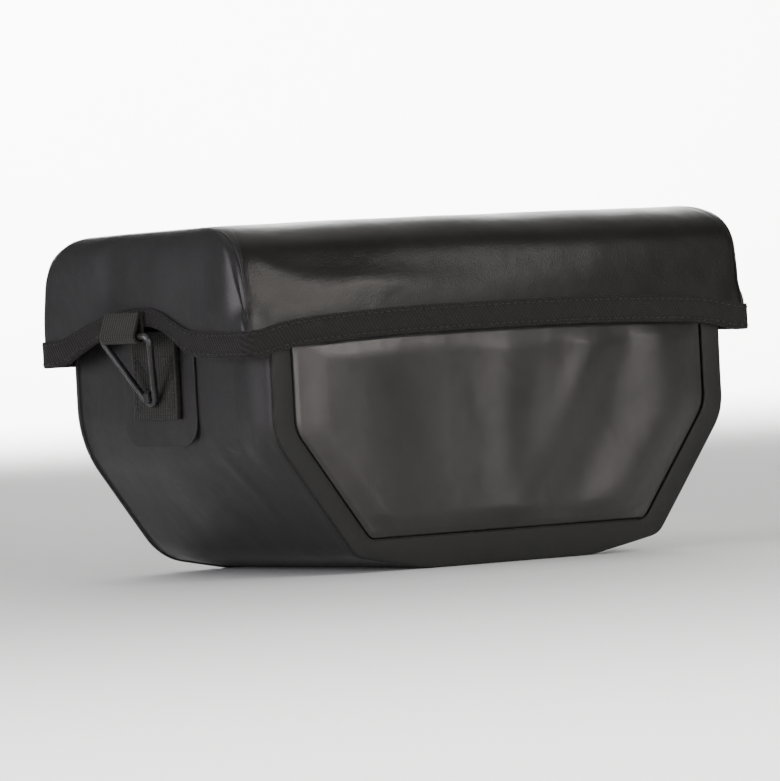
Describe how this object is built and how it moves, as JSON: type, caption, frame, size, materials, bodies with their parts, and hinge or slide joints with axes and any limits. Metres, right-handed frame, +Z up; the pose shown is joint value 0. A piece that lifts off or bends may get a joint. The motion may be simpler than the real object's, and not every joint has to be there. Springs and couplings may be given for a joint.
{
  "type": "bicycle handlebar bag",
  "caption": "Boxy handlebar bag of welded coated fabric with a swollen glossy front, a stiff flap lid over a webbing-bound rim, and ring and tab side fastenings.",
  "frame": {"origin": "on the ground under the middle of the bag's width and of its whole depth, mounting plate included", "axes": "+X along the handlebar, to the right of someone looking at the bag's front; +Y from the front to the mounting plate; +Z up"},
  "size_m": [0.3286, 0.1886, 0.1738],
  "materials": {
    "matt_coated_fabric": "matt coated fabric with a fine grain",
    "gloss_coated_fabric": "smooth satin coated fabric",
    "webbing": "ribbed webbing",
    "black_wire": "black coated wire",
    "hard_plastic": "moulded, fine texture"
  },
  "bodies": {
    "root": {"body_side_band": "matt_coated_fabric", "body_front_border": "matt_coated_fabric", "body_front_gloss": "gloss_coated_fabric", "body_back": "matt_coated_fabric", "mount_plate": "hard_plastic", "lid_cover": "matt_coated_fabric", "lid_end_right": "matt_coated_fabric", "lid_end_left": "matt_coated_fabric", "lid_hem_tape": "webbing", "side_patch_right": "matt_coated_fabric", "side_patch_left": "matt_coated_fabric", "webbing_tab_right": "webbing", "webbing_tab_left": "webbing", "ring_hook_right": "hard_plastic", "ring_hook_left": "hard_plastic", "webbing_loop_right": "webbing", "webbing_loop_left": "webbing", "fastening_ring_right": "black_wire", "fastening_ring_left": "black_wire"}
  },
  "joints": []
}
